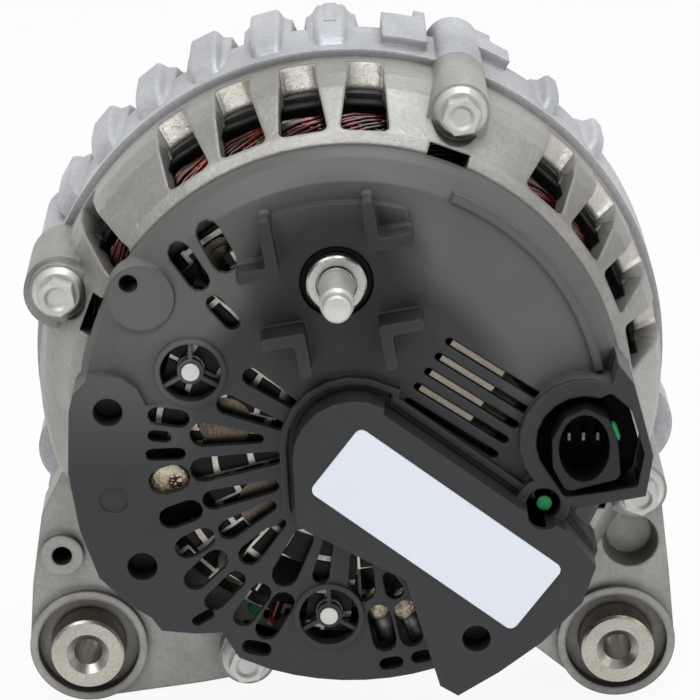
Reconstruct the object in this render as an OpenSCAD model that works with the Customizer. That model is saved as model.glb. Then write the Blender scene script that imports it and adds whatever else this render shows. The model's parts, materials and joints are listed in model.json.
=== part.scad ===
// Car alternator with a slotted plastic rear cover and two mounting ears below.
// The rotor turns about Y, the pulley is towards +Y and the covered slip ring end towards -Y.
// Pieces are drawn on the bench: X to the right and Y up as seen from the rear, with Z
// growing rearwards from the joint of the two brackets. bench() then turns them into place.

/* [Brackets] */
// Outer radius of both brackets at their joint
bracket_r = 76; // [75:0.5:80]
// Thickness of the brackets round the stator core
cast_wall = 6; // [5:0.25:6.5]
// Depth of the rear bracket, from the joint to its end face
rear_depth = 37.5; // [36.5:0.5:42]
// Depth of the front bracket, from the joint to its front face
front_depth = 44; // [43:0.5:50]
// Thickness of the end walls of both brackets
end_wall = 4.5; // [3.5:0.25:5]
// Distance from the joint to the middle of the belt
belt_reach = 66; // [65:0.5:74]
// Angle between two neighbouring windows
vent_pitch = 12.3; // [12:0.1:13]
// How much the front bracket stands out from the rear one at their joint
barrel_step = 1.7; // [0.5:0.1:2]
// Height of the fins of the front bracket above the rear bracket
fin_height = 4.5; // [3:0.5:6]

/* [Through bolts] */
// How far the circle of the through bolts lies inside the outer radius of the brackets
bolt_inset = 1.5; // [0:0.25:2]
// Angle of the first through bolt, from +X towards +Z
bolt_angle = 69.5; // [67:0.5:72]
// Shank radius of a through bolt
bolt_r = 2.5; // [2.5:0.25:3]
// Radius of the bosses round the through bolts
boss_r = 7; // [6.5:0.25:8]
// Distance from the joint to the seats of the bolt heads
bolt_seat = 29; // [26:0.5:31]

/* [Ears] */
// Distance of each ear from the middle
ear_x = 65.6; // [64:0.2:68]
// Distance of the ears below the rotor axis
ear_drop = 68.5; // [67:0.5:71]
// Radius of the round end of an ear
ear_r = 14.6; // [14:0.2:16]
// Distance from the joint to the rear face of the rear ears
rear_ear_face = 24; // [22:0.5:27]
// Length of the rear ears
rear_ear_len = 20; // [16:1:22]
// Length of the front ears
front_ear_len = 12; // [10:1:14]
// Radius of the bolt hole in the front ears
front_ear_bore_r = 5.25; // [5:0.25:6]
// Outer radius of the clamping bushes
bush_r = 9; // [8.5:0.25:10]
// Radius of the tapped hole in the clamping bushes
bush_bore_r = 3.4; // [3.4:0.1:5.5]
// How far the clamping bushes stand out of the rear ears
bush_stand = 5; // [4:0.5:6]
// Play round the clamping bushes
bush_play = 0.05; // [0.03:0.01:0.08]

/* [Stator] */
// Length of the laminated core
core_len = 34; // [32:1:36]
// Gap between the core and the claw poles
air_gap = 0.6; // [0.5:0.05:0.8]
// Number of slots in the core
slot_count = 36; // [36, 48]
// How far the winding stands out of the core at each end
winding_overhang = 15; // [12:0.5:17]

/* [Rotor] */
// Radius of the claw poles
pole_r = 48; // [46:0.5:50]
// Length over both pole pieces
pole_len = 36; // [34:1:38]
// Number of claws on each pole piece
claw_count = 6; // [6, 8]
// Radius of the shaft where the poles sit
shaft_r = 8.5; // [8:0.5:9]
// Radius of the two slip rings
ring_r = 6.5; // [6:0.25:6.75]
// Width of one slip ring
ring_width = 5; // [4.5:0.25:5.5]
// Number of blades on each fan
blade_count = 12; // [10:1:14]

/* [Bearings] */
// Outer radius of the front bearing
front_bearing_r = 23.5; // [23:0.5:25]
// Width of the front bearing
front_bearing_w = 14; // [12:1:15]
// Outer radius of the rear bearing
rear_bearing_r = 17.5; // [17:0.5:18.5]
// Width of the rear bearing
rear_bearing_w = 11; // [10:0.5:12]

/* [Pulley] */
// Radius of the pulley over its ribs
pulley_r = 27; // [25:0.5:32]
// Number of belt ribs
rib_count = 6; // [5:1:7]
// Distance between two belt ribs
rib_pitch = 3.56; // [3.56, 4.0]

/* [Rear cover] */
// Radius of the round upper part of the cover
cover_r = 64.5; // [63:0.25:65.5]
// Wall thickness of the cover
cover_wall = 2; // [1.6:0.1:2.4]
// Height of the flat floor of the cover above the end face of the bracket
cover_rise = 12.5; // [12:0.25:15]
// Height of the raised block above the floor of the cover
block_rise = 10; // [9:0.25:13]
// Width of the slots over the regulator fins
fin_slot_w = 2.1; // [1.9:0.1:2.5]
// Height of the guards round the output stud
guard_rise = 9; // [5:0.5:11]

/* [Output stud and connector] */
// Radius of the output stud
stud_r = 4; // [3:0.5:4]
// How far the output stud stands out of its collar
stud_reach = 18; // [14:0.5:22]
// Radius of the collar under the stud
collar_r = 7.1; // [6.5:0.1:7.4]
// Length of the label
label_len = 60; // [50:1:62]
// Width of the label
label_w = 20; // [16:0.5:21]

/* [Hidden] */

// Places along the bench
core_r = bracket_r - cast_wall;
bolt_circle_r = bracket_r - bolt_inset;
core_mid = 39 - front_depth;
core_rear = core_mid + core_len/2;
core_front = core_mid - core_len/2;
pole_rear = core_mid + pole_len/2;
pole_front = core_mid - pole_len/2;
rear_wall_in = rear_depth - end_wall;
front_wall_in = -front_depth + end_wall;
cover_floor = rear_depth + cover_rise;
block_top = cover_floor + block_rise;
collar_top = cover_floor + 2.5;
eps = 0.01;

// Windows of the brackets, clockwise from the top, and their shape
upper_vents = [for (k = [0:3]) 3 - k*vent_pitch, for (k = [0:3]) 42.4 + k*vent_pitch];
lower_vents = [for (k = [0:3]) 143 + k*vent_pitch];
left_vent = -56.5;
vent_in_w = 11.7;
vent_out_w = 8.8;
vent_h = 21;
vent_lip = 2.8;
vent_start = 5;
vent_mid_r = bracket_r - 5;
shoulder = 22.5;

// Bearings, shaft and fan sizes
front_bearing_z = -front_depth + 1;
rear_bearing_z = rear_depth - 0.5 - rear_bearing_w;
rear_shaft_r = 7.5;
front_hub_r = front_bearing_r + 5.5;
sleeve_wall = 1;
rear_hub_r = rear_bearing_r + sleeve_wall + 3.5;
ball_gap = 0.05;
fan_plate = 1.5;
fan_r = pole_r - 3;
bobbin_r = pole_r - 10;
core_post_r = 20;
pole_disc = 9.5;

// Slip rings and brushes
ring_1_z = rear_depth + 3.5;
ring_2_z = ring_1_z + ring_width + 2.5;
shaft_rear = ring_2_z + ring_width + 1.5;
brush_dir = -37;
brush_w = 5;
brush_t = 4;
brush_len = 16;
brush_travel = 4;
holder_low = -9;
holder_end = ring_r + brush_len + brush_travel + 6;
holder_w = 14.4;

// Output stud, cover studs and screws
stud_xy = [-3.4, 35];
cover_studs_xy = [[-37.8, 13.1], [-5.8, -49.4]];
screw_at = [45.1, -19.6, 0];
stay_hole_at = [-71.5, -44.2, 0];
stay_hole_r = 2.5;
bolt_flange_r = 6.45;
ear_pocket_at = [68.7, -42.1];
connector_xy = [54.6, -3.8];
sink_dir = -33.4;
slot_start = [22.9, 20.0];
slot_len = 24.5;
slot_pitch = 4.45;
slot_total = 5;
label_mid = [19.7, -23.3];
label_dir = -37;
guard_turn = 10;

function unit(v) = v/norm(v);
function turn_left(v) = [-v[1], v[0]];
function polar(r, a) = [r*cos(a), r*sin(a)];
function arc(c, r, a0, a1, n) = [for (i = [0:n]) c + polar(r, a0 + (a1 - a0)*i/n)];
// An anticlockwise outline moved inwards by d
function inset(p, d) = [for (i = [0:len(p) - 1])
    let (n = len(p), a = p[(i + n - 1)%n], b = p[i], c = p[(i + 1)%n],
        n1 = turn_left(unit(b - a)), n2 = turn_left(unit(c - b)))
    b + (n1 + n2)*d/(1 + n1*n2)];
// An outline with every corner rounded to radius r, or less where an edge is short
function rounded(p, r, n = 4) = [for (i = [0:len(p) - 1])
    let (m = len(p), b = p[i], u = unit(p[(i + m - 1)%m] - b), w = unit(p[(i + 1)%m] - b),
        half = acos(max(-1, min(1, u*w)))/2,
        s = min(r/tan(half), 0.49*norm(p[(i + m - 1)%m] - b), 0.49*norm(p[(i + 1)%m] - b)),
        q = s*tan(half), c = b + unit(u + w)*q/sin(half),
        a0 = atan2((b + u*s - c)[1], (b + u*s - c)[0]),
        a1 = atan2((b + w*s - c)[1], (b + w*s - c)[0]),
        turn = (a1 - a0 + 540)%360 - 180)
    for (j = [0:n]) c + polar(q, a0 + turn*j/n)];
// A slot from a to b whose round ends have radius ra and rb
function slot(a, b, ra, rb, n = 5) = let (d = atan2((b - a)[1], (b - a)[0]))
    concat(arc(a, ra, d + 90, d + 270, n), arc(b, rb, d - 90, d + 90, n));
// A piece of a ring between two radii and two angles
function ring_piece(r0, r1, a0, a1, n = 6) =
    concat(arc([0, 0], r1, a0, a1, n), arc([0, 0], r0, a1, a0, n));

module bench() translate([0, -belt_reach, 0]) rotate([90, 0, 0]) children();
module prism(p, z0, z1) translate([0, 0, z0]) linear_extrude(height = z1 - z0) polygon(p);
module rod(r, z0, z1) translate([0, 0, z0]) cylinder(r = r, h = z1 - z0, $fn = 72);
module tube(r0, r1, z0, z1) difference() {
    rod(r1, z0, z1);
    rod(r0, z0 - 1, z1 + 1);
}
module revolve(p) rotate_extrude($fn = 120) polygon(p);
module at_bolts() for (k = [0:3]) rotate([0, 0, bolt_angle + 90*k])
    translate([bolt_circle_r, 0, 0]) children();
module at_ears() for (s = [-1, 1]) translate([s*ear_x, -ear_drop, 0]) children();

// One window through the rounded shoulder, d is 1 at the rear and -1 at the front
module vent(clock, z_mid, d, w_in, w_out, lip = 0) rotate([0, 0, -clock])
    translate([0, vent_mid_r, z_mid]) rotate([-45*d, 0, 0])
        linear_extrude(height = 18, center = true)
            polygon(rounded([[-w_in/2, (lip - vent_h/2)*d], [w_in/2, (lip - vent_h/2)*d],
                [w_out/2, vent_h/2*d], [-w_out/2, vent_h/2*d]], 1.6, 3));
// The start of a window, straight through the round wall
module vent_slot(clock, w, z1) rotate([0, 0, 90 - clock]) prism([[core_r - 1, -w/2],
    [bracket_r + 1, -w/2], [bracket_r + 1, w/2], [core_r - 1, w/2]], vent_start, z1);

// Rounded outside and hollow inside of a bracket, with the depth counted away from the joint
module bracket_outside(depth, step = 0) revolve([[0, 0], [bracket_r + step, 0],
    [bracket_r + step, depth - shoulder], [bracket_r - 1.7 + step, depth - 15.5],
    [bracket_r - 8.5, depth - 2.2], [bracket_r - 11, depth],
    [0, depth]]);
module bracket_inside(depth, seat) revolve([[0, -1], [core_r, -1], [core_r, seat],
    [core_r - 1.5, seat], [core_r - 1.5, depth - 17], [bracket_r - 10, depth - 9],
    [bracket_r - 14, depth - end_wall], [0, depth - end_wall]]);

module intake_windows(r0, r1, count, z0, z1) for (k = [0:count - 1])
    rotate([0, 0, 360/count*k]) prism(ring_piece(r0, r1, 7, 360/count - 7), z0, z1);

// Outline of the web that carries the left or right rear ear
left_web = [[-58, -14], [-70.5, -22], [-76.3, -34], [-79, -52], [-80.2, -68.5],
    [-74, -81], [-60, -82.6], [-38, -79.5], [-19, -76], [-14, -60], [-46, -46]];
right_web = [[57, -10], [46, -46], [33, -56], [45.5, -70.5], [54, -77.5], [66, -83.1],
    [80.2, -68.5], [78.4, -50], [76, -30], [73, -16]];

module rear_housing() color("silver") bench() difference() {
    union() {
        difference() {
            union() {
                bracket_outside(rear_depth);
                prism(rounded(left_web, 3), rear_ear_face - rear_ear_len + 4, rear_ear_face - 2);
                prism(rounded(right_web, 3), rear_ear_face - rear_ear_len + 4, rear_ear_face - 2);
                at_ears() rod(ear_r, rear_ear_face - rear_ear_len, rear_ear_face);
                at_bolts() rod(boss_r, 0, bolt_seat);
                at_bolts() translate([-13, -boss_r, 0]) cube([13, 2*boss_r, bolt_seat]);
                rotate([0, 0, bolt_angle + 90]) translate([bolt_circle_r - 1, 1, 0])
                    rod(boss_r + 2.2, 0, bolt_seat - 3.5);
                translate(stay_hole_at) rod(stay_hole_r + 2.8, 8, rear_ear_face);
            }
            bracket_inside(rear_depth, core_rear);
        }
        rod(rear_hub_r, rear_bearing_z - 2, rear_depth);
    }
    for (c = concat(upper_vents, lower_vents))
        vent(c, rear_depth - 9.5, 1, vent_in_w, vent_out_w, vent_lip);
    for (c = upper_vents) vent_slot(c, vent_out_w, rear_depth - 14);
    vent(left_vent, rear_depth - 8, 1, vent_in_w - 3, vent_out_w - 3);
    vent_slot(left_vent, vent_out_w - 3, rear_depth - 14);
    at_bolts() translate([-13, -5, bolt_seat - 9]) cube([5.5, 10, 20]);
    at_bolts() rod(bolt_flange_r + 0.55, bolt_seat, rear_depth + 1);
    at_bolts() rod(bolt_r + 0.2, -1, bolt_seat + 1);
    intake_windows(rear_hub_r + 3, 36.5, 12, rear_wall_in - 1, rear_depth + 1);
    for (p = cover_studs_xy) translate([p[0], p[1], 0])
        rod(cover_stud_r, rear_depth - 3, rear_depth + 1);
    translate(screw_at) rod(reg_screw_r, rear_depth - 3, rear_depth + 1);
    for (a = lead_angles) rotate([0, 0, a]) translate([lead_r, 0, 0])
        rod(2, rear_wall_in - 1, rear_depth + 1);
    rod(rear_bearing_r + sleeve_wall, rear_bearing_z - 3, rear_depth + 1);
    at_ears() rod(bush_r + bush_play, rear_ear_face - rear_ear_len - 1, rear_ear_face + 1);
    at_ears() rod(bush_r + 3.6, rear_ear_face - 3.5, rear_ear_face + 1);
    translate(stay_hole_at) rod(stay_hole_r, rear_ear_face - 13, rear_ear_face + 1);
    translate([ear_pocket_at[0], ear_pocket_at[1], rear_ear_face - 8])
        cylinder(r1 = 5.6, r2 = 7.2, h = 7, $fn = 48);
}

front_web = [[-60, -20], [-74, -30], [-79, -48], [-78, -66], [-66, -82.4], [-52, -75], [-40, -62],
    [0, -60], [40, -62], [52, -75], [66, -82.4], [78, -66], [79, -48], [74, -30], [60, -20]];
fin_clocks = [for (k = [0:5]) -61.6 + 11.7*k, for (k = [0:3]) 150 + 20*k];
thin_fin_clocks = [39, 50.5];
fin_start = 18;
fin_end = front_depth - 9;
// Outline of a fin that is w wide at its tip, with a broad foot
function fin_plan(w) = let (r0 = bracket_r - 5, r1 = bracket_r + barrel_step,
    r2 = bracket_r + fin_height) [[r0, -w - 2.4], [r1 - 0.6, -w - 1.8], [r1 + 0.8, -w/2 - 0.7],
    [r2 - 0.8, -w/2], [r2, -w/2 + 0.8], [r2, w/2 - 0.8], [r2 - 0.8, w/2], [r1 + 0.8, w/2 + 0.7],
    [r1 - 0.6, w + 1.8], [r0, w + 2.4]];

module front_housing() color("lightgray") bench() difference() {
    union() {
        mirror([0, 0, 1]) difference() {
            union() {
                bracket_outside(front_depth, barrel_step);
                prism(rounded(front_web, 4), front_depth - front_ear_len + 2, front_depth - 3);
                at_ears() rod(ear_r - 1, front_depth - front_ear_len, front_depth);
                at_bolts() rod(boss_r, 0, front_depth - 10);
                rotate([0, 0, bolt_angle - 90]) translate([bolt_circle_r, 0, 0]) rod(12.5, 17, 30);
                rotate([0, 0, bolt_angle + 135]) translate([bolt_circle_r + 1, 0, 0])
                    rod(11, 17, 28);
                prism(ring_piece(bracket_r - 5, bracket_r + fin_height - 0.5, bolt_angle + 6.5,
                    bolt_angle + 14.5, 3), 6, fin_end);
                prism(ring_piece(bracket_r - 5, bracket_r + fin_height - 0.5, bolt_angle - 9.5,
                    bolt_angle - 3, 3), fin_start, fin_end);
                for (c = fin_clocks) rotate([0, 0, 90 - c]) prism(fin_plan(4.4), fin_start, fin_end);
                for (c = thin_fin_clocks) rotate([0, 0, 90 - c])
                    prism(fin_plan(2.2), fin_start - 4, fin_end - 8);
            }
            bracket_inside(front_depth, -core_front);
        }
        rod(front_hub_r, -front_depth, front_bearing_z + front_bearing_w);
    }
    for (k = [0:15]) vent(8 + 22.5*k, -front_depth + 9.5, -1, vent_in_w, vent_out_w);
    intake_windows(front_hub_r + 4, 56, 12, -front_depth - 1, front_wall_in + 1);
    rod(front_bearing_r, front_bearing_z, 0);
    rod(front_bearing_r - 4, -front_depth - 1, 0);
    at_bolts() rod(bolt_r, -front_depth - 1, 1);
    at_ears() rod(front_ear_bore_r, -front_depth - 1, -front_depth + front_ear_len + 1);
    for (k = [0:3]) rotate([0, 0, 45 + 90*k]) translate([front_bearing_r + 2.6, 0, 0])
        rod(1.3, front_bearing_z + front_bearing_w - 9, 1);
}

// Laminated ring with inner teeth
slot_in_r = pole_r + air_gap;
slot_out_r = core_r - 10;
module stator_core() color("dimgray") bench() difference() {
    rod(core_r, core_front, core_rear);
    rod(slot_in_r, core_front - 1, core_rear + 1);
    for (k = [0:slot_count - 1]) rotate([0, 0, 360/slot_count*k])
        prism([[slot_in_r - 1, -1.1], [slot_in_r + 1.2, -1.1], [slot_in_r + 2, -2.1],
            [slot_out_r, -2.6], [slot_out_r, 2.6], [slot_in_r + 2, 2.1], [slot_in_r + 1.2, 1.1],
            [slot_in_r - 1, 1.1]], core_front - 1, core_rear + 1);
}

// Wound end turns, one swell for each slot, and the bars that join them through the slots
coil_in_r = slot_in_r + 1.2;
coil_out_r = core_r - 4.4;
function coil_ring(z0, side) = let (n = slot_count*3, m = 8, mid_r = (coil_in_r + coil_out_r)/2)
    [for (i = [0:n - 1]) for (j = [0:m - 1])
        let (a = 360*i/n, swell = (i%3 == 0 ? 1 : 0.91), b = 360*j/m + 22.5,
            r = mid_r + (coil_out_r - coil_in_r)/2/cos(22.5)*cos(b)*swell,
            h = winding_overhang/2*(1 + sin(b)/cos(22.5)*swell))
        [r*cos(a), r*sin(a), z0 + side*h]];
module coil_end(z0, side) {
    n = slot_count*3;
    m = 8;
    faces = [for (i = [0:n - 1]) for (j = [0:m - 1])
        [i*m + j, ((i + 1)%n)*m + j, ((i + 1)%n)*m + (j + 1)%m, i*m + (j + 1)%m]];
    polyhedron(coil_ring(z0, side), side > 0 ? [for (f = faces) [f[3], f[2], f[1], f[0]]] : faces);
}
module stator_winding() color("darkred") bench() {
    coil_end(core_rear, 1);
    coil_end(core_front, -1);
    for (k = [0:slot_count - 1]) rotate([0, 0, 360/slot_count*k])
        prism([[coil_in_r + 1.2, -1.7], [slot_out_r - 0.4, -2.2], [slot_out_r - 0.4, 2.2],
            [coil_in_r + 1.2, 1.7]], core_front - 2, core_rear + 2);
}

lead_angles = [150, 210, 250];
lead_r = (coil_in_r + coil_out_r)/2;
module phase_leads() color("firebrick") bench() for (a = lead_angles) rotate([0, 0, a]) {
    translate([lead_r, 0, 0]) rod(1, core_rear + winding_overhang, frame_z + 2.4);
    translate([lead_r, 0, frame_z + 1.4]) rotate([0, -90, 0]) rod(1, 0, lead_r - frame_r);
}

module bolt_head() {
    translate([0, 0, bolt_seat]) cylinder(r1 = bolt_flange_r, r2 = 5.2, h = 1.8, $fn = 48);
    difference() {
        translate([0, 0, bolt_seat + 1]) cylinder(r = 4.62, h = 4.6, $fn = 6);
        translate([0, 0, bolt_seat + 4.9]) cylinder(r1 = 2.2, r2 = 3.4, h = 1, $fn = 32);
    }
}
module through_bolts() color("gainsboro") bench() at_bolts() {
    bolt_head();
    rod(bolt_r, -front_depth + 12, bolt_seat + 2);
}

// Deep groove bearing rings share this groove size
function groove_r(w) = w*0.27;
module bearing_outer(r_out, r_in, w, z) {
    ball = groove_r(w);
    mid = (r_out + r_in)/2;
    revolve([[mid + ball*0.62, z], [r_out, z], [r_out, z + w], [mid + ball*0.62, z + w],
        for (p = arc([mid, z + w/2], ball + ball_gap, 50, -50, 6)) p]);
}
module bearing_inner(r_out, r_in, w, z) {
    ball = groove_r(w);
    mid = (r_out + r_in)/2;
    revolve([[r_in, z], [mid - ball*0.62, z],
        for (p = arc([mid, z + w/2], ball + ball_gap, 230, 130, 6)) p,
        [mid - ball*0.62, z + w], [r_in, z + w]]);
}
// Balls and the ribbon cage between them
module ball_set(r_out, r_in, w, z, count) {
    ball = groove_r(w);
    mid = (r_out + r_in)/2;
    for (k = [0:count - 1]) rotate([0, 0, 360/count*k]) translate([mid, 0, z + w/2])
        sphere(r = ball, $fn = 24);
    tube(mid - ball*0.3, mid + ball*0.3, z + w/2 - ball*0.5, z + w/2 + ball*0.5);
}
module front_bearing_outer_ring() color("silver") bench()
    bearing_outer(front_bearing_r, shaft_r, front_bearing_w, front_bearing_z);
module front_bearing_inner_ring() color("silver") bench()
    bearing_inner(front_bearing_r, shaft_r, front_bearing_w, front_bearing_z);
module rear_bearing_outer_ring() color("silver") bench()
    bearing_outer(rear_bearing_r, rear_shaft_r, rear_bearing_w, rear_bearing_z);
module rear_bearing_inner_ring() color("silver") bench()
    bearing_inner(rear_bearing_r, rear_shaft_r, rear_bearing_w, rear_bearing_z);
module front_bearing_balls() color("gray") bench()
    ball_set(front_bearing_r, shaft_r, front_bearing_w, front_bearing_z, 8);
module rear_bearing_balls() color("gray") bench()
    ball_set(rear_bearing_r, rear_shaft_r, rear_bearing_w, rear_bearing_z, 8);

module rear_bearing_sleeve() color("black") bench() {
    tube(rear_bearing_r, rear_bearing_r + sleeve_wall, rear_bearing_z - 1, rear_depth - 0.5);
}

retainer_z = front_bearing_z + front_bearing_w;
module bearing_retainer() color("darkgray") bench() difference() {
    rod(front_hub_r - 0.5, retainer_z, retainer_z + 2);
    rod(front_bearing_r - 3, retainer_z - 1, retainer_z + 3);
    for (k = [0:3]) rotate([0, 0, 45 + 90*k]) translate([front_bearing_r + 2.6, 0, 0])
        rod(1.6, retainer_z - 1, retainer_z + 3);
}
module retainer_screws() color("gray") bench()
    for (k = [0:3]) rotate([0, 0, 45 + 90*k]) translate([front_bearing_r + 2.6, 0, 0]) {
        rod(1.3, retainer_z - 8, retainer_z + 2.2);
        translate([0, 0, retainer_z + 2]) cylinder(r1 = 2.8, r2 = 2.2, h = 1.4, $fn = 32);
    }

// Rectifier: two horseshoe plates with press-fit diodes and the moulded lead frame between
plate_a0 = 72;
plate_a1 = 288;
minus_z = rear_depth;
frame_z = minus_z + 2.6;
plate_out_r = lead_r - 1.7;
frame_r = plate_out_r - 4;
plus_z = cover_floor - cover_wall - 4.5;
minus_diodes = [polar(47, 128), polar(46.5, 198), polar(47, 236)];
plus_diodes = [polar(30, 128), polar(30, 182), polar(30, 226)];
diode_r = 6.35;
cover_stud_r = 2.15;
reg_screw_r = 2.5;
stud_root_r = stud_r + 0.2;
module plate_holes(z0, z1) {
    for (p = cover_studs_xy) translate([p[0], p[1], 0]) rod(3.4, z0, z1);
}
module negative_plate() color("silver") bench() difference() {
    prism(ring_piece(39.5, plate_out_r, plate_a0 + 20, plate_a1 - 14, 24), minus_z, minus_z + 2.5);
    plate_holes(minus_z - 1, minus_z + 4);
    for (p = minus_diodes) translate([p[0], p[1], 0]) rod(diode_r, minus_z - 1, minus_z + 4);
}
module negative_diodes() color("gainsboro") bench() for (p = minus_diodes)
    translate([p[0], p[1], 0]) {
        rod(diode_r, minus_z + 0.2, minus_z + 3.2);
        rod(4.4, minus_z + 3.2 - eps, minus_z + 4);
        rod(0.7, minus_z + 4 - eps, plus_z - 0.4);
    }
// Fingers of the positive plate: angle, half width at the foot and at the tip, reach
plus_r = 39;
function toward(p) = atan2(p[1], p[0]) + (p[1] < 0 ? 360 : 0);
plus_fingers = [[toward(stud_xy), 13, 11, norm(stud_xy) + collar_r + 2.2], [122, 5.5, 4.5, 50],
    [141, 5.5, 4.5, 50], [toward(cover_studs_xy[0]), 9, 7, norm(cover_studs_xy[0]) + 6],
    [181, 5.5, 4.5, 50], [200, 5.5, 4.5, 50], [219, 5.5, 4.5, 50], [238, 5.5, 4.5, 50],
    [toward(cover_studs_xy[1]), 8, 5.6, norm(cover_studs_xy[1]) + 5.7]];
plus_plan = concat([polar(plus_r, plate_a0)], [for (f = plus_fingers) each
    [polar(plus_r, f[0] - f[1]), polar(f[3], f[0] - f[2]), polar(f[3], f[0] + f[2]),
        polar(plus_r, f[0] + f[1])]],
    [polar(plus_r, plate_a1)], arc([0, 0], 18, plate_a1, plate_a0, 24));
module positive_plate() color("silver") bench() difference() {
    prism(plus_plan, plus_z, plus_z + 3);
    plate_holes(plus_z - 1, plus_z + 4);
    for (p = plus_diodes) translate([p[0], p[1], 0]) rod(diode_r, plus_z - 1, plus_z + 4);
    translate([stud_xy[0], stud_xy[1], 0]) rod(stud_root_r, plus_z - 1, plus_z + 4);
}
module positive_diodes() color("gainsboro") bench() for (p = plus_diodes)
    translate([p[0], p[1], 0]) {
        rod(diode_r, plus_z - 1.6, plus_z + 3);
        rod(4.4, plus_z - 2.4, plus_z - 1.6 + eps);
        rod(0.7, minus_z + 3, plus_z - 2.4 + eps);
    }
module lead_frame() color("black") bench() difference() {
    prism(ring_piece(37, frame_r, plate_a0 + 40, plate_a1 - 18, 24), frame_z, plus_z - 0.8);
    plate_holes(minus_z, plus_z + 4);
    for (p = minus_diodes) translate([p[0], p[1], 0]) rod(diode_r + 0.4, minus_z, plus_z);
}
module rectifier_studs() color("gainsboro") bench() for (p = cover_studs_xy)
    translate([p[0], p[1], 0]) {
        rod(cover_stud_r, rear_depth - 3, cover_floor + 0.5);
        tube(cover_stud_r - eps, 3.2, plus_z - 0.8, plus_z + 4.4);
    }

// Output stud with its collar and insulating ring
module output_stud() color("gainsboro") bench() translate([stud_xy[0], stud_xy[1], 0])
    revolve([[0, plus_z - 1.6], [6, plus_z - 1.6], [6, plus_z], [stud_root_r, plus_z],
        [stud_root_r, collar_top], [stud_r, collar_top], [stud_r, collar_top + stud_reach - 4.2],
        [stud_r*0.83, collar_top + stud_reach - 3.2],
        [stud_r*0.83, collar_top + stud_reach - 0.6], [stud_r*0.7, collar_top + stud_reach],
        [0, collar_top + stud_reach]]);
module output_collar() color("silver") bench() translate([stud_xy[0], stud_xy[1], 0])
    revolve([[stud_root_r, plus_z + 3], [collar_r, plus_z + 3], [collar_r, collar_top - 0.5],
        [collar_r - 0.5, collar_top], [stud_r + 0.8, collar_top],
        [stud_r + 0.8, collar_top - 1.2], [stud_root_r, collar_top - 1.2]]);
module output_insulator() color("black") bench() translate([stud_xy[0], stud_xy[1], 0])
    tube(collar_r + 0.15, collar_r + 1.2, plus_z + 3, cover_floor - 0.6);

// Slotted rear cover
plateau_mid = [-57.5, 3.1];
plateau_r = 9.2;
lower_r = 66.5;
lower_plan = concat([[46, -12], [0, 2], [-40, 6]], arc(plateau_mid, plateau_r, 10, 180, 6),
    [[-67.3, -12], [-65, -26.5], [-60.7, -39], [-54.5, -45.5], [-48.5, -49.5], [-46, -53],
    [-38, -53.8], [-31.5, -53.6], [-27.5, -60.3]], arc([0, 0], lower_r, -107.5, -72.5, 7),
    [[24.5, -67.3], [35, -61], [45.6, -53], [55, -43], [58.5, -33], [51.5, -22]]);
block_plan = concat([[38.9, -17.9], [7.2, 5.7]], arc([0.4, -5.4], 14.4, 60, 180, 7),
    arc([-9.2, -19.6], 4.2, 180, 250, 3), [[12.4, -36.2], [20.6, -63.6], [24.9, -66.2],
    [34.6, -60.2], [44.9, -52.4], [54.2, -42.4], [57.4, -33.2], [50.4, -24]]);
hood_plan = concat([[53, -20.6], [69.3, -17.7], [70.9, -7.5], [66, 10.5], [62.2, 15.5]],
    arc(connector_xy, 15.4, 66, 240, 10));
window_plan = concat([[50, -17.8], [67.4, -15.4], [68.8, -7], [65.6, 4], [60.6, 8.4]],
    arc(connector_xy, 11.4, 72, 222, 8));
hood_top = cover_floor + 4;
ledge_side = [[-30, -22], [-10, -22], [-6, -14], [8, -2], [37, -24], [45, -10], [20, 20],
    [-30, 20]];
// Blind holes in the cover: place, radius and the height of their rim
cover_holes = [[[-57.5, 3.1], 3.5, cover_floor], [[-50.3, -36.3], 3.6, cover_floor],
    [[29.2, -51.4], 3.4, block_top]];

function dome(d) = [[0, cover_floor - d], [44, cover_floor - d], [58.5 - d/2, cover_floor - 3 - d],
    [cover_r - 1.2 - d, cover_floor - 7], [cover_r - d, cover_floor - 9.2],
    [cover_r - d, rear_depth - (d > 0 ? 1 : 0)], [0, rear_depth - (d > 0 ? 1 : 0)]];

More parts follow.
